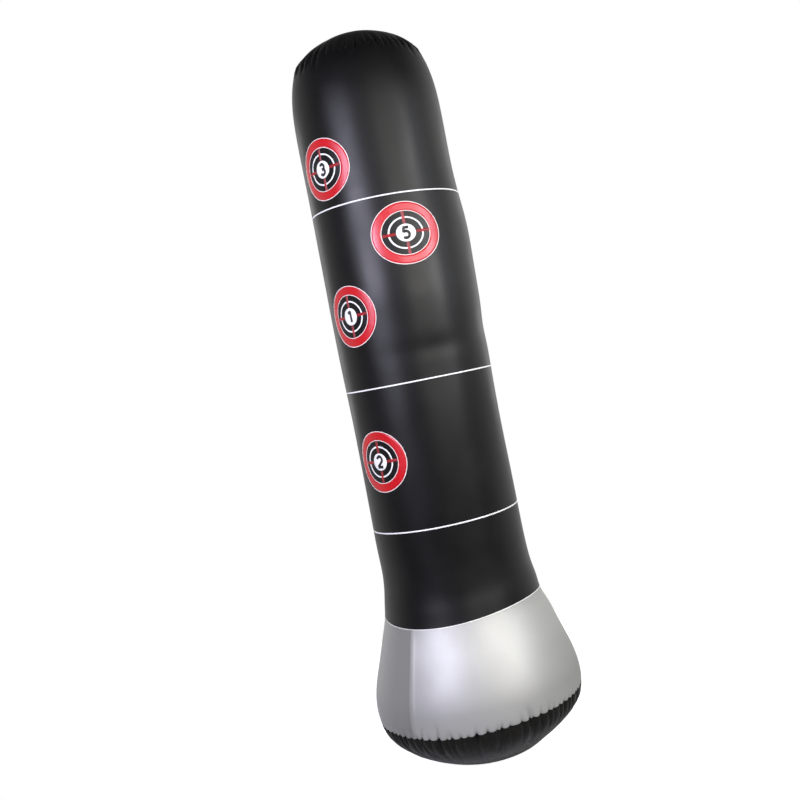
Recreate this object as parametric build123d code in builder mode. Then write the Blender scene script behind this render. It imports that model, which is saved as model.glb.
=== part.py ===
"""Free standing punching column: an inflated PVC film column on a water-ballasted, bell-shaped base.

Millimetres, +Z up. The origin is the middle of the flat patch that the base stands on, and the front faces -Y.
The film panels are welded edge to edge, and the column bends over at the neck, where it joins the base.
"""

import os
from math import cos, degrees, radians, sin

from build123d import *

# ---------------------------------------------------------------- driving dimensions
FILM = 0.5  # thickness of the PVC film
WELD_GAP = 0.05  # clearance under a patch or overlap that lies on a curved film
RUNNING_GAP = 0.3  # clearance round a piece that moves, and round the water

PATCH_R = 95.0  # flat patch on the floor
BOTTOM_SEAM_R, BOTTOM_SEAM_Z = 219.0, 109.0
BOTTOM_SEAM_SLOPE = (0.12, 1)  # outwards and upwards
NECK_R, NECK_Z = 167.0, 308.0  # where the black column meets the silver bell
TOP_SEAM_R, TOP_SEAM_Z = 135.5, 1484.0
TOP_SEAM_SLOPE = (-0.85, 1)
APEX_Z = 1540.0

SKIRT_SEAM_AZIMUTH = -129.0  # upright weld of the bell, in degrees from +X; the second one is opposite
COLUMN_SEAM_AZIMUTH = 125.0  # upright weld of the column, at the rear
LAP_WIDTH = 11.0  # width of an upright weld, measured round the bag
LAP_MARGIN = 7.0  # an overlap ends this far short of the seam above and below it

NECK_SLOT = 28.0  # the bell's film ends this far below the neck, clear of the tilted column
DIVIDER_RIM_DEPTH = 70.0  # below the neck, deeper than the tilted column's lower edge
NESTING_GAP = 0.4  # between the column's floor and the divider that cups it
WATER_LEVEL = 100.0

COLUMN_VALVE_Z, COLUMN_VALVE_AZIMUTH = 620.0, 90.0
BASE_VALVE_Z, BASE_VALVE_AZIMUTH = 190.0, 84.0
FILLER_Z, FILLER_AZIMUTH = 190.0, 103.0

# air valve: heights along its axis, from the film's outer face
VALVE_FLANGE_R, VALVE_FLANGE = 19.0, 1.2
STEM_R, STEM_BORE_R, STEM_LIP_R, STEM_COLLAR_R = 6.5, 4.5, 7.5, 8.5
STEM_INNER_END, STEM_COLLAR_FOOT, STEM_TOP = -16.0, 1.6, 3.1
STEM_LIP = 1.5
STEM_TAB_WIDTH = 7.0
PLUG_FOOT, PLUG_TOP = 3.3, 5.3
PLUG_HEAD_R, PLUG_STRAP_WIDTH = 8.0, 5.0
SPIGOT_R, SPIGOT_TIP_R, SPIGOT = 4.35, 3.25, 4.5
PLUG_HINGE_REACH, PLUG_HINGE_R = 9.9, 1.0  # from the valve's axis to the plug's hinge line
FLAP_R, FLAP, FLAP_WIDTH = 5.6, 0.6, 4.0
FLAP_HINGE_REACH, FLAP_HINGE_R = 6.6, 0.5

# water filler: heights along its axis, from the film's outer face
FILLER_FLANGE_R, FILLER_FLANGE = 30.0, 1.5
SPOUT_R, SPOUT_BORE_R, SPOUT_FOOT, SPOUT_TOP = 15.0, 12.0, -7.0, 9.0
GASKET_FOOT, GASKET = 9.1, 1.2
GASKET_BORE_R = 12.2
CAP_R, CAP_BORE_R, CAP_FOOT, CAP_CEILING, CAP_TOP = 18.5, 15.4, 3.0, 10.4, 13.0
CAP_RIBS, CAP_RIB_R = 24, 0.9
CAP_CHAMFER = 0.8

# how finely a profile is followed
OFFSET_POINTS = 17  # points that carry a profile's offset curve
HALVINGS = 40  # steps that find the place on a profile at a given height
PATCH_BAND = 1.3  # a patch is cut from a band that reaches this many of its radii each way

AXIS_START = (Align.CENTER, Align.CENTER, Align.MIN)


# ---------------------------------------------------------------- helpers for the film
def meridian(azimuth):
    """The upright half plane at this azimuth: its x runs outwards from the axis, and its y is up."""
    a = radians(azimuth)
    return Plane(origin=(0, 0, 0), x_dir=(cos(a), sin(a), 0), z_dir=(sin(a), -cos(a), 0))


def beside(profile, distance):
    """The curve beside a profile, moved outwards from the bag by distance."""
    moved = []
    for i in range(OFFSET_POINTS):
        share = i / (OFFSET_POINTS - 1)
        place = profile @ share
        along = profile % share
        moved.append(place + Vector(along.Y, -along.X) * distance)
    return Spline(moved, mode=Mode.PRIVATE)


def share_below(profile, height):
    """The place on a rising profile that lies at this height, as a share of its length."""
    low, high = 0.0, 1.0
    for _ in range(HALVINGS):
        middle = (low + high) / 2
        if (profile @ middle).Y < height:
            low = middle
        else:
            high = middle
    return low


def between(curve, low, high):
    """The stretch of a rising curve between two heights."""
    return curve.trim(share_below(curve, low), share_below(curve, high))


def film(profile, inner=-FILM, outer=0.0, low=None, high=None):
    """The section of a layer that follows a profile, between two distances out from it and two heights."""
    inside = beside(profile, inner)
    outside = beside(profile, outer)
    if high:
        inside = between(inside, low, high)
        outside = between(outside, low, high)
    with BuildSketch() as section:
        with BuildLine():
            add(inside)
            add(outside)
            Line(inside @ 0, outside @ 0)
            Line(inside @ 1, outside @ 1)
        make_face()
    return section.sketch


def on_skin(profile, height, azimuth):
    """The plane that touches the bag here: its z points out along the normal, and its y points up the bag."""
    share = share_below(profile, height)
    place = profile @ share
    along = profile % share
    a = radians(azimuth)
    return Plane(
        origin=(place.X * cos(a), place.X * sin(a), place.Y),
        x_dir=(-sin(a), cos(a), 0),
        z_dir=(along.Y * cos(a), along.Y * sin(a), -along.X),
    )


def save(builder, name):
    builder.part.label = name
    export_step(builder.part, f"parts/{name}.step")


# ---------------------------------------------------------------- helpers for the valves
def barrel(plane, foot, top, radius, mode=Mode.ADD):
    """A round boss or bore on a valve's axis, between two heights along it."""
    with Locations(plane.offset(foot)):
        Cylinder(radius, top - foot, align=AXIS_START, mode=mode)


def tongue(plane, foot, top, reach, width):
    """A flat strap that runs up the bag from a valve's axis."""
    with Locations(plane.offset(foot)):
        Box(width, reach, top - foot, align=(Align.CENTER, Align.MIN, Align.MIN))


def knuckle(plane, reach, height, radius, width):
    """A level hinge barrel, at this reach up the bag from a valve's axis."""
    with Locations(plane.location * Location((0, reach, height))):
        Cylinder(radius, width, rotation=(0, 90, 0))


def skin_patch(profile, height, azimuth, radius, thickness):
    """A round patch that lies on the film round a valve, cut from a band that follows the film."""
    reach = PATCH_BAND * radius
    sweep = degrees(2 * reach / NECK_R)
    with BuildSketch(meridian(azimuth - sweep / 2)) as band:
        add(film(profile, WELD_GAP, WELD_GAP + thickness, height - reach, height + reach))
    revolve(band.sketch, axis=Axis.Z, revolution_arc=sweep)
    barrel(on_skin(profile, height, azimuth), -reach, reach, radius, mode=Mode.INTERSECT)


# ---------------------------------------------------------------- profiles, as radius and height
with BuildLine(mode=Mode.PRIVATE) as bottom_line:
    Spline(
        (PATCH_R, 0),
        (135, 16),
        (175, 41.5),
        (207, 74),
        (BOTTOM_SEAM_R, BOTTOM_SEAM_Z),
        tangents=[(1, 0.2), BOTTOM_SEAM_SLOPE],
    )
with BuildLine(mode=Mode.PRIVATE) as skirt_line:
    Spline(
        (BOTTOM_SEAM_R, BOTTOM_SEAM_Z),
        (217.0, 160),
        (203.1, 210),
        (182.1, 265),
        (NECK_R, NECK_Z),
        tangents=[BOTTOM_SEAM_SLOPE, (-0.3, 1)],
    )
with BuildLine(mode=Mode.PRIVATE) as column_line:
    Spline(
        (NECK_R, NECK_Z),
        (158.6, 392),
        (156.3, 520),
        (156.4, 740),
        (161.8, 1000),
        (157.8, 1230),
        (155.2, 1400),
        (146.8, 1460),
        (TOP_SEAM_R, TOP_SEAM_Z),
        tangents=[(-0.2, 1), TOP_SEAM_SLOPE],
    )
with BuildLine(mode=Mode.PRIVATE) as top_line:
    Spline(
        (TOP_SEAM_R, TOP_SEAM_Z),
        (121, 1499),
        (94, 1519),
        (50, 1535),
        (0, APEX_Z),
        tangents=[TOP_SEAM_SLOPE, (-1, 0)],
    )
BOTTOM = bottom_line.edges()[0]
SKIRT = skirt_line.edges()[0]
COLUMN = column_line.edges()[0]
TOP = top_line.edges()[0]
SKIRT_FILM = SKIRT.trim(0, share_below(SKIRT, NECK_Z - NECK_SLOT))

column_valve = on_skin(COLUMN, COLUMN_VALVE_Z, COLUMN_VALVE_AZIMUTH)
base_valve = on_skin(SKIRT, BASE_VALVE_Z, BASE_VALVE_AZIMUTH)
filler = on_skin(SKIRT, FILLER_Z, FILLER_AZIMUTH)

os.makedirs("parts", exist_ok=True)

# ---------------------------------------------------------------- base: film panels
with BuildPart() as bottom_panel:
    with BuildSketch(Plane.XZ):
        add(film(BOTTOM))
        Rectangle(PATCH_R, FILM, align=(Align.MIN, Align.MIN))
    revolve(axis=Axis.Z)
save(bottom_panel, "bottom_panel")

with BuildPart() as skirt_right_panel:
    with BuildSketch(meridian(SKIRT_SEAM_AZIMUTH)):
        add(film(SKIRT_FILM))
    revolve(axis=Axis.Z, revolution_arc=180)
save(skirt_right_panel, "skirt_right_panel")

with BuildPart() as skirt_left_panel:
    with BuildSketch(meridian(SKIRT_SEAM_AZIMUTH + 180)):
        add(film(SKIRT_FILM))
    revolve(axis=Axis.Z, revolution_arc=180)
    barrel(base_valve, -VALVE_FLANGE_R, VALVE_FLANGE_R, STEM_R + RUNNING_GAP, mode=Mode.SUBTRACT)
    barrel(filler, -FILLER_FLANGE_R, FILLER_FLANGE_R, SPOUT_R + RUNNING_GAP, mode=Mode.SUBTRACT)
save(skirt_left_panel, "skirt_left_panel")

SKIRT_LAP_ARC = degrees(LAP_WIDTH / BOTTOM_SEAM_R)
SKIRT_LAP_ENDS = (BOTTOM_SEAM_Z + LAP_MARGIN, NECK_Z - NECK_SLOT - LAP_MARGIN)
with BuildPart() as skirt_seam_strips:
    for azimuth in (SKIRT_SEAM_AZIMUTH, SKIRT_SEAM_AZIMUTH + 180):
        with BuildSketch(meridian(azimuth - SKIRT_LAP_ARC / 2)):
            add(film(SKIRT, WELD_GAP, WELD_GAP + FILM, *SKIRT_LAP_ENDS))
        revolve(axis=Axis.Z, revolution_arc=SKIRT_LAP_ARC)
save(skirt_seam_strips, "skirt_seam_strips")

# ---------------------------------------------------------------- base: ballast
with BuildPart() as ballast_water:
    with BuildSketch(Plane.XZ):
        with BuildLine():
            shore = beside(BOTTOM, -FILM - RUNNING_GAP)
            shore = shore.trim(0, share_below(shore, WATER_LEVEL))
            add(shore)
            bed = Line(shore @ 0, (0, (shore @ 0).Y))
            middle = Line(bed @ 1, (0, (shore @ 1).Y))
            Line(middle @ 1, shore @ 1)
        make_face()
    revolve(axis=Axis.Z)
save(ballast_water, "ballast_water")

# ---------------------------------------------------------------- neck: film wall that closes the base chamber
CUP_R = NECK_R + NESTING_GAP
with BuildPart() as chamber_divider:
    with Locations((0, 0, NECK_Z)):
        Sphere(CUP_R + FILM)
        Sphere(CUP_R, mode=Mode.SUBTRACT)
    with Locations((0, 0, NECK_Z - DIVIDER_RIM_DEPTH)):
        Cylinder(2 * CUP_R, 2 * CUP_R, align=(Align.CENTER, Align.CENTER, Align.MAX), mode=Mode.INTERSECT)
save(chamber_divider, "chamber_divider")

# ---------------------------------------------------------------- column: film panels
with BuildPart() as column_floor_panel:
    with Locations((0, 0, NECK_Z)):
        Sphere(NECK_R)
        Sphere(NECK_R - FILM, mode=Mode.SUBTRACT)
        Cylinder(2 * NECK_R, 2 * NECK_R, align=(Align.CENTER, Align.CENTER, Align.MAX), mode=Mode.INTERSECT)
save(column_floor_panel, "column_floor_panel")

with BuildPart() as column_tube:
    with BuildSketch(Plane.XZ):
        add(film(COLUMN))
        with Locations((NECK_R, NECK_Z)):
            Rectangle(NECK_R, NECK_R, align=(Align.CENTER, Align.MAX), mode=Mode.SUBTRACT)
    revolve(axis=Axis.Z)
    barrel(column_valve, -VALVE_FLANGE_R, VALVE_FLANGE_R, STEM_R + RUNNING_GAP, mode=Mode.SUBTRACT)
save(column_tube, "column_tube")

COLUMN_LAP_ARC = degrees(LAP_WIDTH / NECK_R)
with BuildPart() as column_seam_strip:
    with BuildSketch(meridian(COLUMN_SEAM_AZIMUTH - COLUMN_LAP_ARC / 2)):
        add(film(COLUMN, WELD_GAP, WELD_GAP + FILM, NECK_Z + LAP_MARGIN, TOP_SEAM_Z - LAP_MARGIN))
    revolve(axis=Axis.Z, revolution_arc=COLUMN_LAP_ARC)
save(column_seam_strip, "column_seam_strip")

with BuildPart() as top_panel:
    with BuildSketch(Plane.XZ):
        add(film(TOP))
    revolve(axis=Axis.Z)
save(top_panel, "top_panel")

# ---------------------------------------------------------------- air valves, one on the column and one on the base
VALVES = (
    ("column_valve", column_valve, COLUMN, COLUMN_VALVE_Z, COLUMN_VALVE_AZIMUTH),
    ("base_valve", base_valve, SKIRT, BASE_VALVE_Z, BASE_VALVE_AZIMUTH),
)
for name, plane, profile, height, azimuth in VALVES:
    with BuildPart() as valve_flange:
        skin_patch(profile, height, azimuth, VALVE_FLANGE_R, VALVE_FLANGE)
        barrel(plane, -VALVE_FLANGE_R, VALVE_FLANGE_R, STEM_R + RUNNING_GAP, mode=Mode.SUBTRACT)
    save(valve_flange, f"{name}_flange")

    with BuildPart() as valve_stem:
        barrel(plane, STEM_INNER_END, STEM_TOP, STEM_R)
        barrel(plane, STEM_INNER_END, STEM_INNER_END + STEM_LIP, STEM_LIP_R)
        barrel(plane, STEM_COLLAR_FOOT, STEM_TOP, STEM_COLLAR_R)
        tongue(plane, STEM_COLLAR_FOOT, STEM_TOP, PLUG_HINGE_REACH + PLUG_HINGE_R, STEM_TAB_WIDTH)
        barrel(plane, STEM_INNER_END, STEM_TOP, STEM_BORE_R, mode=Mode.SUBTRACT)
    save(valve_stem, f"{name}_stem")

    with BuildPart() as valve_plug:
        barrel(plane, PLUG_FOOT, PLUG_TOP, PLUG_HEAD_R)
        tongue(plane, PLUG_FOOT, PLUG_TOP, PLUG_HINGE_REACH, PLUG_STRAP_WIDTH)
        knuckle(plane, PLUG_HINGE_REACH, (PLUG_FOOT + PLUG_TOP) / 2, PLUG_HINGE_R, PLUG_STRAP_WIDTH)
        with Locations(plane.offset(PLUG_FOOT - SPIGOT)):
            Cone(SPIGOT_TIP_R, SPIGOT_R, SPIGOT, align=AXIS_START)
    save(valve_plug, f"{name}_plug")

    flap_top = STEM_INNER_END - RUNNING_GAP
    with BuildPart() as valve_flap:
        barrel(plane, flap_top - FLAP, flap_top, FLAP_R)
        tongue(plane, flap_top - FLAP, flap_top, FLAP_HINGE_REACH, FLAP_WIDTH)
        knuckle(plane, FLAP_HINGE_REACH, flap_top - FLAP / 2, FLAP_HINGE_R, FLAP_WIDTH)
    save(valve_flap, f"{name}_flap")

# ---------------------------------------------------------------- base: water filler
with BuildPart() as filler_flange:
    skin_patch(SKIRT, FILLER_Z, FILLER_AZIMUTH, FILLER_FLANGE_R, FILLER_FLANGE)
    barrel(filler, SPOUT_FOOT, SPOUT_TOP, SPOUT_R)
    barrel(filler, -FILLER_FLANGE_R, FILLER_FLANGE_R, SPOUT_BORE_R, mode=Mode.SUBTRACT)
save(filler_flange, "filler_flange")

with BuildPart() as filler_gasket:
    barrel(filler, GASKET_FOOT, GASKET_FOOT + GASKET, SPOUT_R)
    barrel(filler, GASKET_FOOT, GASKET_FOOT + GASKET, GASKET_BORE_R, mode=Mode.SUBTRACT)
save(filler_gasket, "filler_gasket")

with BuildPart() as filler_cap:
    barrel(filler, CAP_FOOT, CAP_TOP, CAP_R)
    chamfer(edges().group_by(Axis(filler.origin, filler.z_dir))[-1], CAP_CHAMFER)
    with Locations(filler.offset(CAP_FOOT)):
        with PolarLocations(CAP_R, CAP_RIBS):
            Cylinder(CAP_RIB_R, CAP_CEILING - CAP_FOOT, align=AXIS_START)
    barrel(filler, CAP_FOOT, CAP_CEILING, CAP_BORE_R, mode=Mode.SUBTRACT)
save(filler_cap, "filler_cap")
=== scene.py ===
"""The looks of the free standing punching column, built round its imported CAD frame.

Metres, +Z up, the front faces -Y. Every film piece is one stretch of the same surface, film(): the CAD
outline turned round the axis, pushed in by the tucks that gather it at its two end seams. A place on it is
given by phi, the angle from the front towards +X in radians, and s, the length up the outline from the
floor patch's edge.
"""

import math
import random

import bmesh
import bpy
import numpy as np
from mathutils import Matrix, Vector


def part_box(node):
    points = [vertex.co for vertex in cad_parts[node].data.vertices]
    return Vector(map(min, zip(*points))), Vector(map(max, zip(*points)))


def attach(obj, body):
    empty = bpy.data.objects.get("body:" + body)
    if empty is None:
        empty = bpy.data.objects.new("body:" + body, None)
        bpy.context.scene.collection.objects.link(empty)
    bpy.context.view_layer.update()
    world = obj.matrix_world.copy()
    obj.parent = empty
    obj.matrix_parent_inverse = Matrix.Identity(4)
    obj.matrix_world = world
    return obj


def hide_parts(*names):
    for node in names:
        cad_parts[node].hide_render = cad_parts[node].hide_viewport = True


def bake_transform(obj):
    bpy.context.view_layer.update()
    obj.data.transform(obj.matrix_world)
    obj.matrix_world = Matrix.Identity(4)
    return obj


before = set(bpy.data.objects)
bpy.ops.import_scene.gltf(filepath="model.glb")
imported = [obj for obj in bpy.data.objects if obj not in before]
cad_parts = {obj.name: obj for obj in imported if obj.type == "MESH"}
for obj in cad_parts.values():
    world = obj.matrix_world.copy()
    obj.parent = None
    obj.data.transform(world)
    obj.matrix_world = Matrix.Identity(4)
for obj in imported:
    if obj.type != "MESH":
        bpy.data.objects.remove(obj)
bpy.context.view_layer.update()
MM = 0.001

# ---------------------------------------------------------------- driving values
COLUMNS = 400  # quads round the bag on smooth film, and twice as many where it is gathered
ROW = 9 * MM  # height of a row of quads on smooth film
FINE_ROW = 2.6 * MM  # and where it is gathered
FINEST_ROW = 1.2 * MM  # and right at a gathered seam
ROW_GROWTH = 0.12  # how fast the rows grow away from a gathered seam
COLUMN_RADIUS = 0.16  # nominal radius, which turns widths on the column's film into angles
BELL_RADIUS = 0.20  # and on the bell's
TINY = 1e-6  # metres or radians

# printed white rings round the column: height, and how much higher they run on the right than in front
LINES = ((1.168, -1.7 * MM), (0.7925, 0.0), (0.4985, 2.0 * MM))
LINE_WIDTH = 2.7 * MM
INK = 0.14 * MM  # how far a print stands off the film
INK_STEP = 0.07 * MM  # and how far one ink stands off the ink under it
PEN_STEP = 0.014 * MM  # and one pen stroke of a digit off the stroke before it
RING_EDGE, STROKE_EDGE = 0.12 * MM, 0.10 * MM  # width of the slope from the ink down to the film
RING_STEP, STROKE_STEP = 3.5 * MM, 1.2 * MM  # distance between points across a ring and along a stroke
RING_POINTS = 120  # points round a printed ring

# digit, phi of the middle, height of the middle, half width round the bag, half height
TARGETS = (
    ("3", math.radians(-44.3), 1.250, 69 * MM, 63 * MM),
    ("5", math.radians(11.5), 1.086, 72 * MM, 63.5 * MM),
    ("1", math.radians(-44.0), 0.945, 65 * MM, 63 * MM),
    ("2", math.radians(-44.2), 0.6445, 66 * MM, 63 * MM),
    ("4", math.radians(122.5), 1.000, 67 * MM, 63 * MM),
)
# ink, and its inner and outer edge as shares of the target's radius
WHITE_RING = (0.464, 0.514)
RINGS = (
    ("ink_white", 0.0, 0.282),
    ("ink_white", *WHITE_RING),
    ("ink_pale", 0.690, 0.714),
    ("ink_red", 0.714, 0.975),
    ("ink_pale", 0.975, 1.0),
)
# a crosshair bar runs out over the black and over the white ring, where its thin red ink is brighter
BAR = (("ink_bar", 0.30, WHITE_RING[0]), ("ink_red", *WHITE_RING), ("ink_bar", WHITE_RING[1], 0.690))
BAR_WIDTH = 6.0 * MM
DIGIT_HEIGHT = 24.5 * MM
DIGIT_STROKE = 5.8 * MM

SKIRT_WELDS = (math.radians(-39), math.radians(141))  # phi of the bell's upright welds
COLUMN_WELD = math.radians(-145)
WELD_WIDTH = 11 * MM
WELD_STEP = 0.15 * MM  # how far the overlapping film stands off
WELD_BEVEL = 1.6 * MM  # how wide its edge is
WELD_FOOT = -0.05 * MM  # and how far off the film that edge ends: just under it
WELD_RIDGE = 2.0 * MM  # how far the bell's film stands up towards its welds
RIDGE_HALF, RIDGE_CREST = 16 * MM, 1.5 * MM  # half width of that ridge, and of its round crest
RIDGE_ENDS = (30 * MM, 40 * MM)  # lengths over which it fades at the bottom's seam and at the neck
NECK_PROUD = 0.7 * MM  # how far the film stands off the outline at the neck
NECK_SMOOTH = 90 * MM  # and how far from the neck it lies smooth

# hollows in the inflated film, and swellings where the depth is negative: phi, height, half sizes and depth
SPOTS = (
    (math.radians(17), 0.853, 85 * MM, 20 * MM, 1.3 * MM),
    (math.radians(15), 0.815, 110 * MM, 60 * MM, 1.8 * MM),
    (math.radians(40), 0.975, 120 * MM, 60 * MM, -1.6 * MM),
    (math.radians(82), 0.880, 90 * MM, 36 * MM, 2.4 * MM),
    (math.radians(90), 1.100, 120 * MM, 80 * MM, -4.8 * MM),
    (math.radians(-90), 1.020, 150 * MM, 190 * MM, 4.4 * MM),
    (math.radians(-90), 1.533, 110 * MM, 9 * MM, 2.5 * MM),
    (math.radians(-90), 1.495, 120 * MM, 16 * MM, -1.8 * MM),
    (math.radians(-18), 0.975, 70 * MM, 45 * MM, -1.3 * MM),
    (math.radians(-90), 0.390, 140 * MM, 48 * MM, 3.5 * MM),
    (math.radians(85), 0.340, 120 * MM, 26 * MM, -2.5 * MM),
    (math.radians(90), 0.275, 130 * MM, 34 * MM, -3.6 * MM),
    (math.radians(-90), 0.215, 150 * MM, 55 * MM, 3.2 * MM),
    (math.radians(80), 0.034, 190 * MM, 42 * MM, 7.0 * MM),
    (math.radians(-90), 0.050, 150 * MM, 34 * MM, -4.0 * MM),
    (math.radians(5), 0.312, 170 * MM, 36 * MM, -3.2 * MM),
)
# the neck's seam rises, and sags most at one place on the front and at the place opposite
NECK_RISE, NECK_SAG, NECK_LOWEST = 3 * MM, 7.3 * MM, math.radians(-30)
SEAM_DROP = 10.5 * MM  # how much lower the bottom's seam runs on the left than on the right
SEAM_TURN = 3  # and how sharply it changes over between them
NECK_REACH, SEAM_REACH = 70 * MM, 60 * MM  # how far along the film the neck's and the bottom's seams shift it
END_REACH = 60 * MM  # how far from the film's two ends its swellings and hollows fade

# slow waves in the inflated film: share of their height, how fast they run with phi and with z, and phase
WAVE_HEIGHT = 0.8 * MM
WAVES = ((0.55, 3, 5.1, 0.4), (0.40, 2, -9.3, 1.9), (0.30, 5, 14.7, 4.0), (0.22, 8, -23.0, 2.2))

# a tuck's share of the usual depth and length: the least, what chance adds, and what a big tuck adds
DEPTH_SHARE = (0.45, 0.6, 0.5)
LENGTH_SHARE = (0.35, 0.5, 0.8)
TUCK_JITTER, TUCK_LEAN = 0.33, 0.14  # how far places vary, as a share of the spacing, and how much tucks lean
TUCK_HALF = (2.6 * MM, 1.4 * MM)  # half width of a tuck at its seam, and what chance adds
TUCK_WIDENS = 0.10  # and what each metre away from the seam adds
TUCK_SHAPE = 1.4  # the power that shapes a tuck along and across
TUCK_ZONE = 1.7  # how far from a seam its tucks are felt, in usual lengths
PUFF_ROUND, PUFF_SAG = 0.97, 0.83  # how round a puff is between two tucks, and how deep that arc is
GROOVE_DEEP, GROOVE_HALF = 0.9 * MM, 1.8 * MM  # the groove that runs along a gathered seam
SCALLOP_REACH = 8 * MM  # how far from a seam its scallops are felt

CUP_COLUMNS, CUP_RINGS, CUP_DEGREES = 96, 30, 87  # that floor's quads, and how far round it they reach
WATER_GAP = 1.2 * MM  # between the water and the film

OUTLINE_STEP = 6 * MM  # least distance between knots of the outline
CORE_LINE = (0.15, 1.40)  # heights of the ends of the line that outer faces look away from
OUTWARD = 0.5  # and the least cosine between their normals and the way out from that line


# ---------------------------------------------------------------- the outline, read from the CAD film
def outer_outline(node):
    """Radius and height of points on a film node's outer face, from the lowest to the highest."""
    found = []
    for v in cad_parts[node].data.vertices:
        core = Vector((0, 0, min(max(v.co.z, CORE_LINE[0]), CORE_LINE[1])))
        if v.normal.dot((v.co - core).normalized()) > OUTWARD:
            found.append((round(v.co.z, 4), math.hypot(v.co.x, v.co.y)))
    found.sort()
    heights = sorted(set(z for z, _ in found))
    rows = [(max(r for z, r in found if z == h), h) for h in heights]
    kept = [rows[0]]
    for row in rows[1:]:
        if math.dist(row, kept[-1]) > OUTLINE_STEP:
            kept.append(row)
    if math.dist(kept[-1], rows[-1]) < OUTLINE_STEP / 2:
        kept[-1] = rows[-1]
    return kept


def spline(knots, values, at):
    """A natural cubic spline through values at knots, read at the places at."""
    n = len(knots)
    h = np.diff(knots)
    a = np.eye(n)
    b = np.zeros(n)
    for i in range(1, n - 1):
        a[i, i - 1 : i + 2] = h[i - 1], 2 * (h[i - 1] + h[i]), h[i]
        b[i] = 6 * ((values[i + 1] - values[i]) / h[i] - (values[i] - values[i - 1]) / h[i - 1])
    bend = np.linalg.solve(a, b)
    i = np.clip(np.searchsorted(knots, at) - 1, 0, n - 2)
    left, right = at - knots[i], knots[i + 1] - at
    return (
        (bend[i] * right**3 + bend[i + 1] * left**3) / (6 * h[i])
        + (values[i] / h[i] - bend[i] * h[i] / 6) * right
        + (values[i + 1] / h[i] - bend[i + 1] * h[i] / 6) * left
    )


BOTTOM_SEAM_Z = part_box("skirt_right_panel")[0].z
NECK_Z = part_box("column_tube")[0].z
TOP_SEAM_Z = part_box("column_tube")[1].z

outline = outer_outline("bottom_panel")
for panel in ("skirt_right_panel", "column_tube", "top_panel"):
    outline += [p for p in outer_outline(panel) if math.dist(p, outline[-1]) > OUTLINE_STEP / 2]
outline = np.array(outline + [(0.0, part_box("top_panel")[1].z)])
knots = np.concatenate([[0], np.cumsum(np.hypot(*np.diff(outline, axis=0).T))])
LENGTH = knots[-1]
S = np.arange(0, LENGTH, 1 * MM)
OUT_R = spline(knots, outline[:, 0], S)
OUT_Z = spline(knots, outline[:, 1], S)
SLOPE_R, SLOPE_Z = np.gradient(OUT_R, S), np.gradient(OUT_Z, S)
STEEP = np.hypot(SLOPE_R, SLOPE_Z)


def s_at(z):
    """The length up the outline at a height."""
    return float(np.interp(z, OUT_Z, S))


S_BOTTOM, S_NECK, S_TOP = s_at(BOTTOM_SEAM_Z), s_at(NECK_Z), s_at(TOP_SEAM_Z)


# ---------------------------------------------------------------- tucks, which gather the film at a seam
def drawn(draw, share, big):
    """A share of the usual depth or length: the least, and what chance and a big tuck add."""
    least, by_chance, by_size = share
    return least + by_chance * draw.random() + by_size * big


def make_tucks(seed, s_seam, spacing, deep, below, above, scallop, soft_below, soft_above):
    """A seam and its tucks, at uneven spacing: each has a depth, a lean and a length on both sides."""
    draw = random.Random(seed)
    radius = float(np.interp(s_seam, S, OUT_R))
    count = round(math.tau * radius / spacing)
    tucks = []
    for i in range(count):
        big = draw.random() ** 2
        tucks.append(
            dict(
                phi=(i + draw.uniform(-TUCK_JITTER, TUCK_JITTER)) * math.tau / count,
                deep=deep * drawn(draw, DEPTH_SHARE, big),
                lean=draw.gauss(0, TUCK_LEAN),
                below=below * drawn(draw, LENGTH_SHARE, big),
                above=above * drawn(draw, LENGTH_SHARE, big),
                wide=TUCK_HALF[0] + TUCK_HALF[1] * draw.random(),
            )
        )
    return dict(
        s=s_seam,
        radius=radius,
        tucks=tucks,
        deep=deep,
        reach=TUCK_ZONE * max(below, above),
        scallop=scallop,
        soft_below=soft_below,
        soft_above=soft_above,
    )


# deep, below and above are the usual depth and lengths; scallop is how far the film is drawn along between
# the crowns of its puffs, and soft_below and soft_above are how far from the seam the puffs are felt
SEAMS = (
    make_tucks(
        seed=11,
        s_seam=S_BOTTOM,
        spacing=17 * MM,
        deep=3.2 * MM,
        below=85 * MM,
        above=24 * MM,
        scallop=1.7 * MM,
        soft_below=34 * MM,
        soft_above=6 * MM,
    ),
    make_tucks(
        seed=23,
        s_seam=S_TOP,
        spacing=16 * MM,
        deep=3.4 * MM,
        below=30 * MM,
        above=55 * MM,
        scallop=-1.2 * MM,
        soft_below=9 * MM,
        soft_above=18 * MM,
    ),
)


def wrap(angle):
    """The same angle between -pi and pi."""
    return (angle + math.pi) % math.tau - math.pi


def puffs(seam, phi):
    """How far the film sinks beside the crowns of its puffs at a seam: 0 on a crown, 1 in a full tuck."""
    at = np.array([t["phi"] for t in seam["tucks"]])
    deep = np.array([t["deep"] for t in seam["tucks"]]) / seam["deep"]
    order = np.argsort(at % math.tau)
    at, deep = (at % math.tau)[order], deep[order]
    at = np.concatenate([[at[-1] - math.tau], at, [at[0] + math.tau]])
    deep = np.concatenate([[deep[-1]], deep, [deep[0]]])
    turned = phi % math.tau
    i = np.clip(np.searchsorted(at, turned) - 1, 0, len(at) - 2)
    share = (turned - at[i]) / (at[i + 1] - at[i])
    side = 2 * share - 1
    return (1 - np.sqrt(1 - PUFF_ROUND * side**2)) / PUFF_SAG * np.where(side < 0, deep[i], deep[i + 1])


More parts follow.
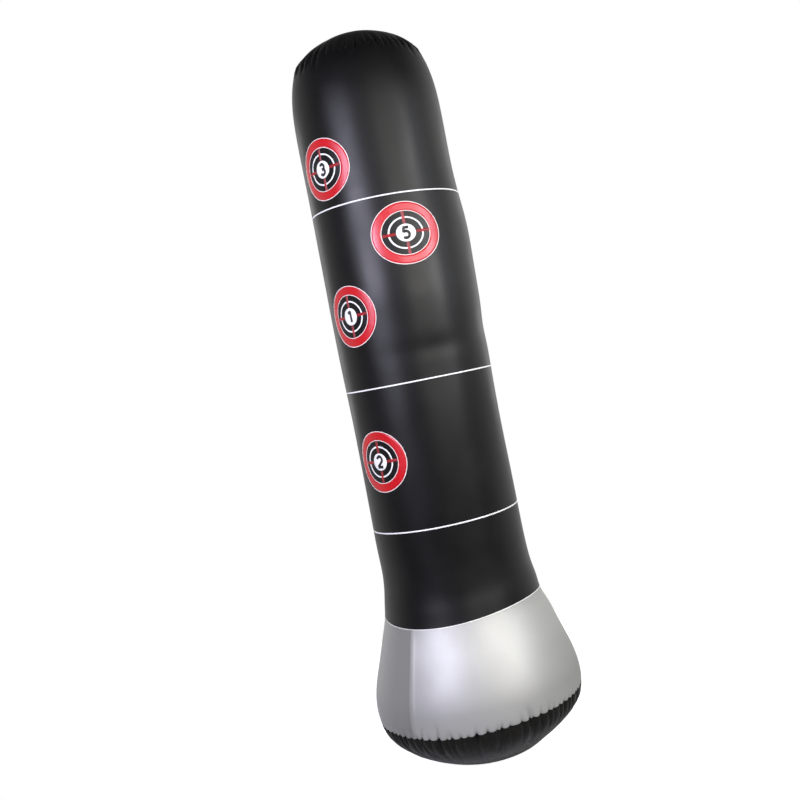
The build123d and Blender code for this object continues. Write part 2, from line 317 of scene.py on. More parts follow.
def gathers(phi, s):
    """How far the tucks push the film in, and how far they draw it up the bag."""
    push, pull = np.zeros_like(phi), np.zeros_like(phi)
    for seam in SEAMS:
        near = np.abs(s - seam["s"]) < seam["reach"]
        up = (s - seam["s"])[near]
        away = np.abs(up)
        angle = phi[near]
        pushed = np.zeros_like(up)
        for t in seam["tucks"]:
            length = np.where(up < 0, t["below"], t["above"])
            fade = np.clip(1 - away / length, 0, 1)
            x = seam["radius"] * wrap(angle - t["phi"]) - t["lean"] * up
            wide = t["wide"] + TUCK_WIDENS * away
            pushed += t["deep"] * fade**TUCK_SHAPE * np.exp(-((np.abs(x) / wide) ** TUCK_SHAPE))
        puffed = puffs(seam, angle)
        reach = np.where(up < 0, seam["soft_below"], seam["soft_above"])
        pushed += seam["deep"] * puffed * np.exp(-away / reach)
        push[near] += pushed + GROOVE_DEEP * np.exp(-away / GROOVE_HALF)
        pull[near] += seam["scallop"] * puffed * np.exp(-away / SCALLOP_REACH)
    return push, pull


def hollows(phi, z):
    """How far the film sinks in its hollows, less how far it swells."""
    sunk = np.zeros_like(phi)
    for middle, height, wide, high, deep in SPOTS:
        across = COLUMN_RADIUS * wrap(phi - middle) / wide
        sunk = sunk + deep * np.exp(-(across**2) - ((z - height) / high) ** 2)
    return sunk


# flange, how far round it the film lies still, and the hole that its stem or spout goes through
FITTINGS = []
for flange, still, hole in (
    ("column_valve_flange", 45 * MM, 12 * MM),
    ("base_valve_flange", 40 * MM, 12 * MM),
    ("filler_flange", 55 * MM, 21 * MM),
):
    low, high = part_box(flange)
    FITTINGS.append(((low + high) / 2, still, hole))


def slack(phi, z):
    """How free the film is to swell and sink: not at all at a fitting, and fully away from it."""
    free = np.ones_like(phi)
    x, y = COLUMN_RADIUS * np.sin(phi), -COLUMN_RADIUS * np.cos(phi)
    for middle, still, _ in FITTINGS:
        centre = Vector((middle.x, middle.y, 0)).normalized() * COLUMN_RADIUS
        d2 = (x - centre.x) ** 2 + (y - centre.y) ** 2 + (z - middle.z) ** 2
        free = free * (1 - np.exp(-((d2 / still**2) ** 2)))
    return free


def waves(phi, z):
    """The slow unevenness of inflated film, in metres."""
    return WAVE_HEIGHT * sum(
        share * np.sin(by_phi * phi + by_z * z + phase) for share, by_phi, by_z, phase in WAVES
    )


def proud(z):
    """1 at the neck, where the film lies smooth and stands off the cups inside it, and 0 away from it."""
    return np.exp(-(((z - NECK_Z) / NECK_SMOOTH) ** 4))


def ridges(phi, s):
    """How far the bell's film stands up towards its upright welds."""
    up = 0
    for weld in SKIRT_WELDS:
        away = np.hypot(BELL_RADIUS * wrap(phi - weld), RIDGE_CREST)
        from_bottom = np.clip((s - S_BOTTOM) / RIDGE_ENDS[0], 0, 1)
        from_neck = np.clip((S_NECK - s) / RIDGE_ENDS[1], 0, 1)
        up = up + WELD_RIDGE * np.exp(-away / RIDGE_HALF) * from_bottom * from_neck
    return up


def film(phi, s, off=0.0):
    """Points on the bag, at angles phi and lengths s up the outline, lifted off the film by off."""
    phi, s = np.broadcast_arrays(np.asarray(phi, float), np.asarray(s, float))
    push, pull = gathers(phi, s)
    rise = NECK_RISE - NECK_SAG * np.cos(2 * (phi - NECK_LOWEST))
    rise = rise * np.exp(-(((s - S_NECK) / NECK_REACH) ** 2))
    drop = SEAM_DROP * 0.5 * (1 - np.tanh(SEAM_TURN * np.sin(phi)))
    drop = drop * np.exp(-(((s - S_BOTTOM) / SEAM_REACH) ** 2))
    place = s + pull + rise - drop
    r, z = np.interp(place, S, OUT_R), np.interp(place, S, OUT_Z)
    slope_r, slope_z = np.interp(place, S, SLOPE_R / STEEP), np.interp(place, S, SLOPE_Z / STEEP)
    ends = np.clip(np.minimum(s, LENGTH - s) / END_REACH, 0, 1)
    shape = waves(phi, z) * (1 - proud(z)) - hollows(phi, z)
    lift = off - push + shape * slack(phi, z) * ends + NECK_PROUD * proud(z) + ridges(phi, s)
    r = r + slope_z * lift
    z = z - slope_r * lift
    return np.stack([r * np.sin(phi), -r * np.cos(phi), z], -1)


# ---------------------------------------------------------------- mesh makers
def make_object(name, points, faces, materials, face_materials=None):
    """A smooth mesh object in the scene; face_materials gives each face's place in materials."""
    mesh = bpy.data.meshes.new(name)
    mesh.from_pydata([tuple(p) for p in points], [], faces)
    for m in materials:
        mesh.materials.append(m)
    if face_materials is not None:
        mesh.polygons.foreach_set("material_index", face_materials)
    mesh.shade_smooth()
    mesh.update()
    made = bpy.data.objects.new(name, mesh)
    bpy.context.scene.collection.objects.link(made)
    return made


def rows_between(start, end, fine_from_start=0.0, fine_to_end=0.0):
    """Rows of quads up the outline, (s, columns), finer over these lengths at an end that is gathered."""
    rows = []
    s = start
    while s < end - TINY:
        fine = s - start < fine_from_start or end - s < fine_to_end
        near = min(s - start if fine_from_start else math.inf, end - s if fine_to_end else math.inf)
        rows.append((s, COLUMNS * 2 if fine else COLUMNS))
        s += FINEST_ROW + min(FINE_ROW - FINEST_ROW, near * ROW_GROWTH) if fine else ROW
    if end - rows[-1][0] < FINEST_ROW / 2:
        rows.pop()
    rows.append((end, rows[-1][1]))
    return rows


def faces_between(below, above, closed):
    """Faces between two rows, each (first point, columns), whose columns may halve or double."""
    (a, n), (b, m) = below, above

    def low(j):
        return a + (j % n if closed else j)

    def high(j):
        return b + (j % m if closed else j)

    faces = []
    if n == m:
        faces += [(low(j), low(j + 1), high(j + 1), high(j)) for j in range(n)]
    elif n == 2 * m:
        for j in range(m):
            faces += [
                (low(2 * j), low(2 * j + 1), high(j)),
                (low(2 * j + 1), high(j + 1), high(j)),
                (low(2 * j + 1), low(2 * j + 2), high(j + 1)),
            ]
    else:
        for j in range(n):
            faces += [
                (low(j), high(2 * j + 1), high(2 * j)),
                (low(j), low(j + 1), high(2 * j + 1)),
                (low(j + 1), high(2 * j + 2), high(2 * j + 1)),
            ]
    return faces


def skin(name, rows, material, span=(-math.pi, math.pi), tip=None, off=0.0):
    """A panel of film: a grid over rows of (s, columns), closed at one end where it has a tip."""
    closed = span[1] - span[0] > math.tau - TINY
    share = (span[1] - span[0]) / math.tau
    points, faces, starts = [], [], []
    for s, columns in rows:
        count = round(columns * share)
        phi = span[0] + (span[1] - span[0]) * np.arange(count + (not closed)) / count
        starts.append((len(points), count))
        points.extend(film(phi, np.full_like(phi, s), off))
    for below, above in zip(starts, starts[1:]):
        faces += faces_between(below, above, closed)
    if tip is not None:
        at_top = tip[2] > NECK_Z
        first, count = starts[-1] if at_top else starts[0]
        last = len(points)
        points.append(tip)
        for j in range(count):
            edge = (first + j, first + (j + 1) % count, last)
            faces.append(edge if at_top else edge[::-1])
    made = make_object(name, points, faces, [material])
    cut_holes(made)
    return made


def cut_holes(made):
    """Takes away the film inside each fitting's hole, and rounds the hole's edge."""
    mesh = bmesh.new()
    mesh.from_mesh(made.data)
    for middle, _, hole in FITTINGS:
        inside = [face for face in mesh.faces if (face.calc_center_median() - middle).length < hole]
        edge = {v for face in inside for v in face.verts}
        bmesh.ops.delete(mesh, geom=inside, context="FACES")
        for v in edge:
            if v.is_valid:
                out = v.co - middle
                v.co = middle + out * hole / out.length
    mesh.to_mesh(made.data)
    mesh.free()


def strip(name, path_phi, path_s, across, offs, material):
    """A band of film pieces laid on the bag: one column of points per offset (along phi or s) in across."""
    points, faces = [], []
    n = len(path_phi)
    for (d_phi, d_s), off in zip(across, offs):
        points.extend(film(path_phi + d_phi, path_s + d_s, off))
    for k in range(len(across) - 1):
        for j in range(n - 1):
            a = k * n + j
            faces.append((a, a + 1, a + n + 1, a + n))
    return make_object(name, points, faces, [material])


# ---------------------------------------------------------------- materials
class Shader:
    """A Principled material with a few short ways to add nodes. Coordinates are metres in the bag's frame."""

    def __init__(self, name, colour, roughness, **sockets):
        self.material = bpy.data.materials.new(name)
        self.material.use_nodes = True
        self.tree = self.material.node_tree
        self.principled = self.tree.nodes["Principled BSDF"]
        self.set(self.principled, "Base Color", (*colour, 1))
        self.set(self.principled, "Roughness", roughness)
        for socket, value in sockets.items():
            self.set(self.principled, socket.replace("_", " "), value)
        self.where = self.add("ShaderNodeTexCoord").outputs["Object"]
        self.height = None

    def add(self, kind, **values):
        node = self.tree.nodes.new(kind)
        for key, value in values.items():
            setattr(node, key, value)
        return node

    def set(self, node, socket, value):
        if isinstance(value, bpy.types.NodeSocket):
            self.tree.links.new(value, node.inputs[socket])
        else:
            node.inputs[socket].default_value = value

    def noise(self, scale, detail, roughness=0.55):
        """Noise with features about 1/scale metres across."""
        node = self.add("ShaderNodeTexNoise")
        self.set(node, "Vector", self.where)
        self.set(node, "Scale", scale)
        self.set(node, "Detail", detail)
        self.set(node, "Roughness", roughness)
        return node.outputs["Fac"]

    def ramp(self, value, stops):
        """A colour or number that runs through stops of (place, grey or colour)."""
        node = self.add("ShaderNodeValToRGB")
        self.set(node, "Fac", value)
        ramp = node.color_ramp
        for i, (place, tone) in enumerate(stops):
            colour = (tone, tone, tone, 1) if isinstance(tone, (int, float)) else (*tone, 1)
            stop = ramp.elements[i] if i < 2 else ramp.elements.new(place)
            stop.position = place
            stop.color = colour
        return node.outputs["Color"]

    def vary(self, socket, value, low, high, places=(0.3, 0.7)):
        """Runs a Principled socket from low to high while a value, mostly a noise, goes between places."""
        self.set(self.principled, socket, self.ramp(value, zip(places, (low, high))))

    def up(self):
        """Height in metres."""
        node = self.add("ShaderNodeSeparateXYZ")
        self.set(node, 0, self.where)
        return node.outputs["Z"]

    def round(self):
        """Share of a turn round the bag, anticlockwise from the left as seen from above."""
        node = self.add("ShaderNodeTexGradient", gradient_type="RADIAL")
        self.set(node, "Vector", self.where)
        return node.outputs["Fac"]

    def shade(self, socket, value):
        """Multiplies what drives a Principled socket by a value."""
        node = self.add("ShaderNodeVectorMath", operation="MULTIPLY")
        self.set(node, 0, self.principled.inputs[socket].links[0].from_socket)
        self.set(node, 1, value)
        self.set(self.principled, socket, node.outputs["Vector"])

    def bump(self, value, distance, strength):
        """Adds relief of this height in metres, at this strength."""
        node = self.add("ShaderNodeBump")
        self.set(node, "Height", value)
        self.set(node, "Distance", distance)
        self.set(node, "Strength", strength)
        if self.height is not None:
            self.set(node, "Normal", self.height)
        self.height = node.outputs["Normal"]
        self.set(self.principled, "Normal", self.height)


def black_film():
    m = Shader("black_film", (0.004, 0.004, 0.0042), 0.35, Specular_IOR_Level=0.28)
    m.vary("Base Color", m.noise(9, 4), (0.0033, 0.0033, 0.0034), (0.0050, 0.0050, 0.0050))
    m.vary("Roughness", m.noise(14, 5, 0.6), 0.32, 0.39)
    m.bump(m.noise(16, 2), 0.5 * MM, 0.5)
    m.bump(m.noise(1400, 2), 0.03 * MM, 0.6)
    return m.material


def bottom_film():
    m = Shader("bottom_film", (0.006, 0.006, 0.005), 0.34, Specular_IOR_Level=0.18)
    m.vary("Base Color", m.noise(22, 4), (0.0042, 0.0040, 0.0030), (0.0080, 0.0076, 0.0056))
    m.vary("Roughness", m.noise(30, 5, 0.6), 0.22, 0.32)
    m.bump(m.noise(30, 3), 0.7 * MM, 0.5)
    m.bump(m.noise(1200, 2), 0.04 * MM, 0.7)
    return m.material


def pearl(tone):
    """The slightly warm colour of silver film of this brightness."""
    return (tone, tone, tone * 0.96)


def silver_film(name, tone, painted_shade_by_height=(), painted_shade_by_turn=()):
    """Pearl silver film. Painted shade can darken its tone by stops of height or of share of a turn."""
    m = Shader(name, pearl(tone), 0.58, Metallic=0.85)
    flake = m.noise(2600, 1)
    m.vary("Base Color", flake, pearl(tone * 0.86), pearl(tone), places=(0.35, 0.65))
    if painted_shade_by_height:
        m.shade("Base Color", m.ramp(m.up(), painted_shade_by_height))
    if painted_shade_by_turn:
        m.shade("Base Color", m.ramp(m.round(), painted_shade_by_turn))
    m.vary("Roughness", m.noise(10, 4), 0.56, 0.62)
    m.bump(m.noise(18, 2), 0.5 * MM, 0.4)
    m.bump(flake, 0.02 * MM, 0.5)
    return m.material


def ink(name, colour, roughness=0.35, specular=0.5, tint=(1.0, 1.0, 1.0)):
    """Printing ink, uneven by a few percent. The tint colours its highlights."""
    m = Shader(name, colour, roughness, Specular_IOR_Level=specular, Specular_Tint=(*tint, 1))
    shade = tuple(c * 0.94 for c in colour)
    m.vary("Base Color", m.noise(40, 3), shade, colour)
    m.vary("Roughness", m.noise(30, 3), roughness - 0.02, roughness + 0.04)
    m.bump(m.noise(1400, 2), 0.02 * MM, 0.4)
    return m.material


def water_material():
    m = Shader("water", (0.75, 0.88, 0.90), 0.05, IOR=1.333, Transmission_Weight=0.9)
    m.vary("Base Color", m.noise(12, 3), (0.70, 0.86, 0.88), (0.80, 0.90, 0.92))
    m.vary("Roughness", m.noise(30, 3), 0.03, 0.09)
    m.bump(m.noise(25, 2), 0.4 * MM, 0.5)
    return m.material


def vinyl(name, colour, roughness):
    """Plain vinyl, rubber or plastic with a fine grain."""
    m = Shader(name, colour, roughness, Specular_IOR_Level=0.5)
    shade = tuple(c * 0.7 for c in colour)
    m.vary("Base Color", m.noise(220, 4), shade, colour)
    m.vary("Roughness", m.noise(300, 5), roughness - 0.07, roughness + 0.09)
    m.bump(m.noise(2500, 3), 0.03 * MM, 0.6)
    return m.material


BLACK = black_film()
BOTTOM = bottom_film()
# painted shade: the front panel is darkened round its widest part: stops of (height, share of the tone)
FRONT_PAINTED_SHADE = [(0.115, 1.0), (0.145, 0.86), (0.205, 0.89), (0.250, 1.0)]
# and painted shade darkens the other one towards its weld at the front: stops of (share of a turn, share of
# the tone)
SIDE_PAINTED_SHADE = [(0.0, 1.0), (0.045, 0.95), (0.10, 0.70), (0.138, 0.60), (0.16, 0.75), (0.85, 0.80), (1.0, 1.0)]
SILVER = silver_film("silver_film", 0.535, painted_shade_by_height=FRONT_PAINTED_SHADE)
# the side panel's silver, darkened towards its weld by painted shade
SILVER_SIDE_PAINTED_SHADE = silver_film("silver_film_side_painted_shade", 0.60, painted_shade_by_turn=SIDE_PAINTED_SHADE)
# the neck's cut edge: the same silver film, made far brighter as a painted highlight
NECK_EDGE_HIGHLIGHT = silver_film("silver_edge_painted_highlight", 0.95)
WATER = water_material()
INKS = {
    "ink_white": ink("ink_white", (0.92, 0.92, 0.92)),
    "ink_pale": ink("ink_pale", (0.86, 0.74, 0.73)),
    "ink_red": ink("ink_red", (0.56, 0.003, 0.008), roughness=0.28, specular=0.66, tint=(0.82, 0.90, 1.0)),
    "ink_bar": ink("ink_bar", (0.28, 0.012, 0.016), roughness=0.38),
    "ink_black": ink("ink_black", (0.012, 0.012, 0.012), roughness=0.45),
}
# CAD nodes that are shown as they are, each in a material of its own
CARRIED = {
    "column_valve_flange": vinyl("flange_vinyl", (0.022, 0.022, 0.023), 0.42),
    "column_valve_stem": vinyl("stem_vinyl", (0.035, 0.035, 0.037), 0.46),
    "column_valve_plug": vinyl("plug_vinyl", (0.03, 0.03, 0.032), 0.4),
    "column_valve_flap": vinyl("flap_vinyl", (0.42, 0.42, 0.40), 0.5),
    "base_valve_flange": vinyl("grey_flange_vinyl", (0.30, 0.30, 0.31), 0.42),
    "base_valve_stem": vinyl("grey_stem_vinyl", (0.26, 0.26, 0.27), 0.45),
    "base_valve_plug": vinyl("grey_plug_vinyl", (0.24, 0.24, 0.25), 0.4),
    "base_valve_flap": vinyl("grey_flap_vinyl", (0.42, 0.42, 0.40), 0.5),
    "filler_flange": vinyl("spout_vinyl", (0.30, 0.30, 0.31), 0.42),
    "filler_gasket": vinyl("gasket_rubber", (0.02, 0.02, 0.02), 0.7),
    "filler_cap": vinyl("cap_plastic", (0.025, 0.025, 0.027), 0.38),
    "chamber_divider": vinyl("divider_film", (0.03, 0.03, 0.032), 0.5),
}
for node, material in CARRIED.items():
    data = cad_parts[node].data
    data.materials.clear()
    data.materials.append(material)
FLOOR_FILM = vinyl("floor_film", (0.02, 0.02, 0.021), 0.5)

# ---------------------------------------------------------------- film panels
floor_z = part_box("bottom_panel")[0].z
bottom_rows = rows_between(0, S_BOTTOM, fine_to_end=100 * MM)
bottom_skin = skin("bottom_skin", bottom_rows, BOTTOM, tip=(0, 0, floor_z))
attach(bottom_skin, "base")
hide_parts("bottom_panel")

skirt_rows = rows_between(S_BOTTOM, S_NECK, fine_from_start=50 * MM)
for name, start, material, panel in (
    ("skirt_right_skin", SKIRT_WELDS[0], SILVER, "skirt_right_panel"),
    ("skirt_left_skin", SKIRT_WELDS[1], SILVER_SIDE_PAINTED_SHADE, "skirt_left_panel"),
):
    panel_skin = skin(name, skirt_rows, material, span=(start, start + math.pi))
    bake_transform(panel_skin)
    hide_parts(panel)

column_rows = rows_between(S_NECK, S_TOP, fine_to_end=48 * MM)
column_skin = skin("column_skin", column_rows, BLACK)
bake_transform(column_skin)
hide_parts("column_tube")

lid_rows = rows_between(S_TOP, LENGTH - 20 * MM, fine_from_start=80 * MM)
lid_rows += [(LENGTH - 12 * MM, COLUMNS // 2), (LENGTH - 5 * MM, COLUMNS // 4)]  # coarser at the middle
top_skin = skin("top_skin", lid_rows, BLACK, tip=(0, 0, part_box("top_panel")[1].z))
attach(top_skin, "column")
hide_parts("top_panel")


# the column's floor is welded in at the neck and swings with the column further down
def make_cup(name, radius, material):
    """A round cup that hangs from the neck's level, with a small flat bottom."""
    depth = np.radians(np.linspace(0, CUP_DEGREES, CUP_RINGS))[:, None]
    turn = np.linspace(0, math.tau, CUP_COLUMNS, endpoint=False)[None, :]
    x = radius * np.cos(depth) * np.sin(turn)
    y = -radius * np.cos(depth) * np.cos(turn)
    z = NECK_Z - radius * np.sin(depth) + 0 * turn
    rings = [(k * CUP_COLUMNS, CUP_COLUMNS) for k in range(CUP_RINGS)]
    faces = []
    for upper, lower in zip(rings, rings[1:]):
        faces += faces_between(upper, lower, closed=True)
    first, count = rings[-1]
    faces.append(tuple(range(first, first + count)))
    return make_object(name, np.stack([x, y, z], -1).reshape(-1, 3), faces, [material])


column_floor = make_cup("column_floor", NECK_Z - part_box("column_floor_panel")[0].z, FLOOR_FILM)
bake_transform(column_floor)
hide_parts("column_floor_panel")

# the water fills the bottom as far as the film's creases let it, up to a flat surface
WATER_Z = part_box("ballast_water")[1].z
water_rows = [row for row in bottom_rows if row[0] < s_at(WATER_Z)] + [(s_at(WATER_Z), 2 * COLUMNS)]
water = skin("water", water_rows, WATER, tip=(0, 0, floor_z + WATER_GAP), off=-WATER_GAP)
mesh = bmesh.new()
mesh.from_mesh(water.data)
rim = [edge for edge in mesh.edges if edge.is_boundary]
for part in bmesh.ops.extrude_edge_only(mesh, edges=rim)["geom"]:
    if isinstance(part, bmesh.types.BMVert):
        part.co.z = WATER_Z
bmesh.ops.contextual_create(mesh, geom=[e for e in mesh.edges if e.is_boundary])
mesh.to_mesh(water.data)
mesh.free()
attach(water, "base")
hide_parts("ballast_water")

# ---------------------------------------------------------------- welds
half = WELD_WIDTH / 2
edge = half + WELD_BEVEL
weld_widths = np.array([-edge, -half, -half / 2, 0, half / 2, half, edge])
weld_offs = [WELD_FOOT, WELD_STEP, WELD_STEP, WELD_STEP, WELD_STEP, WELD_STEP, WELD_FOOT]
for k, weld in enumerate(SKIRT_WELDS):
    s = np.arange(S_BOTTOM + 1 * MM, S_NECK - 2 * MM, 2.5 * MM)
    across = [(d_phi, 0) for d_phi in weld_widths / BELL_RADIUS]
    weld_strip = strip(f"skirt_weld_{k + 1}", np.full_like(s, weld), s, across, weld_offs, SILVER)
    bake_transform(weld_strip)
    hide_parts("skirt_seam_strips")

s = np.arange(S_NECK + 1 * MM, S_TOP - 1 * MM, 3 * MM)
across = [(d_phi, 0) for d_phi in weld_widths / COLUMN_RADIUS]
column_weld = strip("column_weld", np.full_like(s, COLUMN_WELD), s, across, weld_offs, BLACK)
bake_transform(column_weld)
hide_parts("column_seam_strip")

# the bell's cut edge at the neck, a raised rim whose bright silver is a painted highlight: places down the
# film from the seam, and how far off it they stand
round_the_bag = np.linspace(-math.pi, math.pi, COLUMNS + 1)
at_neck = np.full_like(round_the_bag, S_NECK)
edge_rows = [(0, d * MM) for d in (-2.4, -2.2, -1.7, -0.9, -0.3, 0.0)]
edge_offs = [x * MM for x in (-0.1, 0.40, 0.62, 0.62, 0.40, -0.1)]
neck_edge = strip("neck_weld_edge", round_the_bag, at_neck, edge_rows, edge_offs, NECK_EDGE_HIGHLIGHT)
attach(neck_edge, "neck")

# ---------------------------------------------------------------- printed rings round the column
weld_sides = COLUMN_WELD + weld_widths / COLUMN_RADIUS
over_the_weld = np.sort(np.concatenate([round_the_bag, weld_sides]))
weld_lift = np.interp(over_the_weld, weld_sides, np.array(weld_offs) - WELD_FOOT)
half_line = LINE_WIDTH / 2
line_rows = [(0, d) for d in (-half_line - INK, -half_line, 0, half_line, half_line + INK)]
line_offs = [weld_lift + lift for lift in (-INK, INK, INK, INK, -INK)]
for k, (height, tilt) in enumerate(LINES):
    s = s_at(height) + tilt * np.sin(over_the_weld)
    line = strip(f"printed_ring_{k + 1}", over_the_weld, s, line_rows, line_offs, INKS["ink_white"])
    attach(line, "column")


# ---------------------------------------------------------------- printed targets
def arc(x, y, radius_x, radius_y, start, end, steps=14):
    """Points on an arc, in digit heights, from one angle in degrees to another."""
    turn = np.radians(np.linspace(start, end, steps))
    return [(x + radius_x * math.cos(t), y + radius_y * math.sin(t)) for t in turn]


# pen strokes, in digit heights from the digit's middle
DIGITS = {
    "1": [[(-0.20, 0.27), (-0.02, 0.40), (0.07, 0.46)], [(0.07, 0.47), (0.07, -0.46)]],
    "2": [arc(0, 0.19, 0.27, 0.27, 165, -42) + [(-0.27, -0.42)], [(-0.30, -0.43), (0.30, -0.43)]],
    "3": [
        arc(-0.01, 0.22, 0.24, 0.22, 155, -85) + [(-0.08, 0.0)],
        [(-0.08, 0.0)] + arc(-0.01, -0.21, 0.27, 0.23, 85, -155),
    ],
    "4": [[(0.10, -0.46), (0.10, 0.44), (-0.30, -0.18), (0.32, -0.18)]],
    "5": [
        [(0.26, 0.43), (-0.22, 0.43)],
        [(-0.17, 0.43), (-0.20, 0.02)],
        arc(-0.02, -0.15, 0.28, 0.28, 132, -142, 18),
    ],
}


def resampled(points, step):
    """The same pen stroke as evenly spaced points."""
    points = np.array(points, float)
    along = np.concatenate([[0], np.cumsum(np.hypot(*np.diff(points, axis=0).T))])
    at = np.linspace(0, along[-1], max(3, round(along[-1] / step)))
    return np.stack([np.interp(at, along, points[:, 0]), np.interp(at, along, points[:, 1])], -1)


class Print:
    """Ink round one middle: flat pieces drawn in metres across and up, then laid on the bag's film."""

    def __init__(self, phi, height, half_width, half_height):
        self.phi, self.s = phi, s_at(height)
        self.wide, self.high = half_width, half_height
        self.radius = float(np.interp(self.s, S, OUT_R))
        self.points, self.faces, self.slots, self.kinds = [], [], [], []

    def lay(self, x, y, level, ink_name):
        """Adds a grid of points, given across and up, at an ink level, and the faces between them."""
        x, y, level = np.broadcast_arrays(x, y, level)
        first = len(self.points)
        self.points.extend(film(self.phi + x.ravel() / self.radius, self.s + y.ravel(), level.ravel()))
        if ink_name not in self.kinds:
            self.kinds.append(ink_name)
        n, m = x.shape
        for i in range(n - 1):
            for j in range(m - 1):
                a = first + i * m + j
                self.faces.append((a, a + m, a + m + 1, a + 1))
                self.slots.append(self.kinds.index(ink_name))

    def ring(self, ink_name, inner, outer, level):
        """A printed ring between two shares of the half sizes, or a disc where inner is 0."""
        turn = np.linspace(0, math.tau, RING_POINTS + 1)
        edge = RING_EDGE / self.wide
        steps = max(2, round((outer - inner) * self.wide / RING_STEP))
        shares = np.linspace(inner, outer, steps + 1)
        levels = np.full(steps + 1, level)
        shares = np.concatenate([[max(inner - edge, 0)], shares, [outer + edge]])
        levels = np.concatenate([[level if inner == 0 else -INK], levels, [-INK]])
        self.lay(
            self.wide * np.outer(shares, np.cos(turn)),
            self.high * np.outer(shares, np.sin(turn)),
            levels[:, None] * np.ones_like(turn),
            ink_name,
        )

    def stroke(self, ink_name, points, width, level):
        """A pen stroke of even width along points."""
        points = resampled(points, STROKE_STEP)
        along = np.gradient(points, axis=0)
        along /= np.linalg.norm(along, axis=1)[:, None]
        side = np.stack([-along[:, 1], along[:, 0]], -1)
        half = width / 2
        over = np.array([-half - STROKE_EDGE, -half, 0, half, half + STROKE_EDGE])
        levels = np.array([-INK, level, level, level, -INK])
        x = points[:, 0] + over[:, None] * side[:, 0]
        y = points[:, 1] + over[:, None] * side[:, 1]
        self.lay(x[::-1], y[::-1], levels[::-1, None] * np.ones(len(points)), ink_name)

    def make(self, name):
        """The whole print as one object."""
        return make_object(name, self.points, self.faces, [INKS[k] for k in self.kinds], self.slots)


for digit, phi, height, half_width, half_height in TARGETS:
    target = Print(phi, height, half_width, half_height)
    for ink_name, inner, outer in RINGS:
        target.ring(ink_name, inner, outer, INK)
    for dx, dy in ((1, 0), (0, 1), (-1, 0), (0, -1)):
        reach = half_width if dx else half_height
        for ink_name, *shares in BAR:
            ends = [(dx * share * reach, dy * share * reach) for share in shares]
            target.stroke(ink_name, ends, BAR_WIDTH, INK + INK_STEP)
    for k, pen in enumerate(DIGITS[digit]):
        pen = [(x * DIGIT_HEIGHT, y * DIGIT_HEIGHT) for x, y in pen]
        target.stroke("ink_black", pen, DIGIT_STROKE, INK + INK_STEP + k * PEN_STEP)
    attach(target.make(f"target_{digit}"), "column")


# ---------------------------------------------------------------- floor, light and camera
FLOOR_RADIUS, FLOOR_CORNERS = 1.0, 96
FLOOR_SHOWN, FLOOR_LIT = 0.92, 0.0  # the floor's glow to the camera, and to the bag
WALL_LEFT, WALL_RIGHT = 0.6, 0.72  # the walls' glow on the bag
SOFTBOX_TILT = -0.12  # slope at which the soft lights look down
WHITE, LAVENDER, COOL, WARM = (1, 1, 1), (0.82, 0.81, 1.0), (0.92, 0.93, 1.0), (1.0, 0.985, 0.95)


def shown_and_lit(tree, shown, lit):
    """A mix of two shaders: shown is what the camera sees, and lit is what lights the bag."""
    path = tree.nodes.new("ShaderNodeLightPath")
    mix = tree.nodes.new("ShaderNodeMixShader")
    tree.links.new(path.outputs["Is Camera Ray"], mix.inputs[0])
    tree.links.new(lit, mix.inputs[1])
    tree.links.new(shown, mix.inputs[2])
    return mix.outputs[0]


def make_floor():
    """A pale disc under the bag that throws no light of its own on it."""
    m = Shader("pale_floor", (0.5, 0.5, 0.5), 0.9, Specular_IOR_Level=0.1)
    m.vary("Base Color", m.noise(3, 3), 0.48, 0.52)
    glow = []
    for strength in (FLOOR_SHOWN, FLOOR_LIT):
        emission = m.add("ShaderNodeEmission")
        m.set(emission, "Strength", strength)
        both = m.add("ShaderNodeAddShader")
        m.tree.links.new(emission.outputs[0], both.inputs[0])
        m.tree.links.new(m.principled.outputs[0], both.inputs[1])
        glow.append(both.outputs[0])
    surface = shown_and_lit(m.tree, *glow)
    m.tree.links.new(surface, m.tree.nodes["Material Output"].inputs["Surface"])
    level = floor_z - 0.5 * MM
    turn = np.linspace(0, math.tau, FLOOR_CORNERS, endpoint=False)
    rim = [(FLOOR_RADIUS * math.cos(a), FLOOR_RADIUS * math.sin(a), level) for a in turn]
    made = make_object("floor", rim, [tuple(range(len(rim)))], [m.material])


def softbox(name, degrees, distance, low, high, width, radiance, colour):
    """An upright soft light at this angle from the front towards +X, between two heights."""
    light = bpy.data.lights.new(name, "AREA")
    light.shape = "RECTANGLE"
    light.size, light.size_y = width, high - low
    light.energy = math.pi * width * (high - low) * radiance
    light.color = colour
    a = math.radians(degrees)
    made = bpy.data.objects.new(name, light)
    bpy.context.scene.collection.objects.link(made)
    made.location = (distance * math.sin(a), -distance * math.cos(a), (low + high) / 2)
    aim = Vector((-math.sin(a), math.cos(a), SOFTBOX_TILT))
    made.rotation_euler = aim.to_track_quat("-Z", "Y").to_euler()


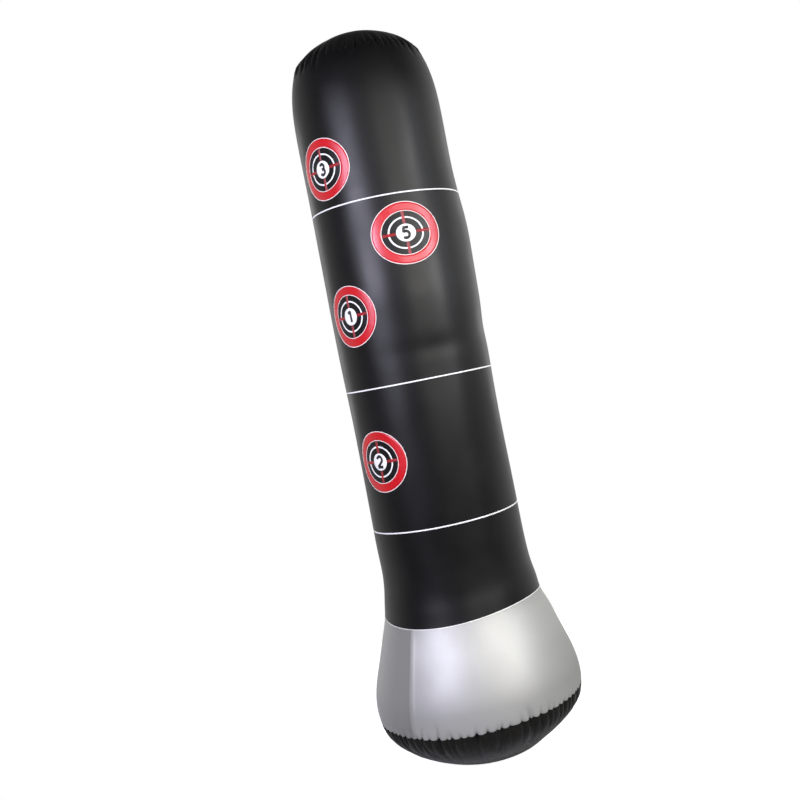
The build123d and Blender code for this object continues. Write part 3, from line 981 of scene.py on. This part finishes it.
def make_world():
    """White behind the bag, and light on it from the walls beside and behind it."""
    world = bpy.data.worlds.new("studio")
    bpy.context.scene.world = world
    world.use_nodes = True
    tree = world.node_tree
    tree.nodes.clear()

    def add(kind, **values):
        node = tree.nodes.new(kind)
        for key, value in values.items():
            setattr(node, key, value)
        return node

    def slope(value, low, high, at_low, at_high):
        """A smooth run from at_low to at_high while value goes from low to high."""
        node = add("ShaderNodeMapRange", interpolation_type="SMOOTHSTEP")
        for key, number in zip(("From Min", "From Max", "To Min", "To Max"), (low, high, at_low, at_high)):
            node.inputs[key].default_value = number
        tree.links.new(value, node.inputs["Value"])
        return node.outputs["Result"]

    def times(a, b):
        node = add("ShaderNodeMath", operation="MULTIPLY")
        tree.links.new(a, node.inputs[0])
        tree.links.new(b, node.inputs[1])
        return node.outputs[0]

    # walls glow behind the bag, more to the right than to the left, and less higher up
    direction = add("ShaderNodeSeparateXYZ")
    tree.links.new(add("ShaderNodeTexCoord").outputs["Generated"], direction.inputs[0])
    x, y, z = direction.outputs
    behind = slope(y, -0.45, 0.35, 0.05, 1.0)
    to_the_right = slope(x, -0.6, 0.9, WALL_LEFT, WALL_RIGHT)
    low_down = slope(z, 0.25, 0.75, 1.0, 0.12)
    walls = add("ShaderNodeBackground")
    tree.links.new(times(times(behind, to_the_right), low_down), walls.inputs["Strength"])
    white = add("ShaderNodeBackground")
    output = add("ShaderNodeOutputWorld")
    for background in (walls, white):
        background.inputs["Color"].default_value = (1, 1, 1, 1)
    tree.links.new(shown_and_lit(tree, white.outputs[0], walls.outputs[0]), output.inputs["Surface"])


make_floor()
make_world()
# name, angle from the front, distance, lowest, highest, width, radiance, colour
for setting in (
    ("right_wide", 33, 2.60, 0.78, 2.30, 2.7, 2.1, WARM),
    ("right_middle", 33, 2.55, 1.02, 1.48, 2.5, 7.2, WARM),
    ("right_edge", 54, 2.45, 0.90, 1.80, 0.6, 7.5, COOL),
    ("right_gap", 74, 2.45, 0.80, 2.10, 1.1, 1.8, COOL),
    ("front_fill", -9, 2.70, 0.90, 2.20, 1.0, 1.6, COOL),
    ("right_wall", 108, 2.60, 0.80, 2.00, 1.6, 0.7, WARM),
    ("left_wide", -42, 2.40, 0.76, 2.30, 1.45, 2.8, LAVENDER),
    ("left_middle", -37, 2.35, 1.08, 1.70, 1.15, 17.5, LAVENDER),
    ("rear_left", -142, 2.60, 0.50, 2.00, 0.9, 0.8, WHITE),
    ("rear_right", 140, 2.60, 0.50, 2.00, 1.0, 0.7, WHITE),
    ("rear_middle", 180, 2.60, 0.60, 2.20, 0.7, 2.0, WHITE),
):
    softbox(*setting)

bpy.context.scene.view_settings.view_transform = "Standard"

LOOK_UP, ROLL = math.radians(0.56), math.radians(-11.07)
camera = bpy.data.cameras.new("camera")
camera.lens = 45.2
camera.shift_x, camera.shift_y = -0.0171, -0.0565
seen_from = bpy.data.objects.new("camera", camera)
bpy.context.scene.collection.objects.link(seen_from)
seen_from.location = (0, -2.151, 0.825)
seen_from.rotation_euler = (
    Matrix.Rotation(math.pi / 2 + LOOK_UP, 3, "X") @ Matrix.Rotation(ROLL, 3, "Z")
).to_euler()
bpy.context.scene.camera = seen_from
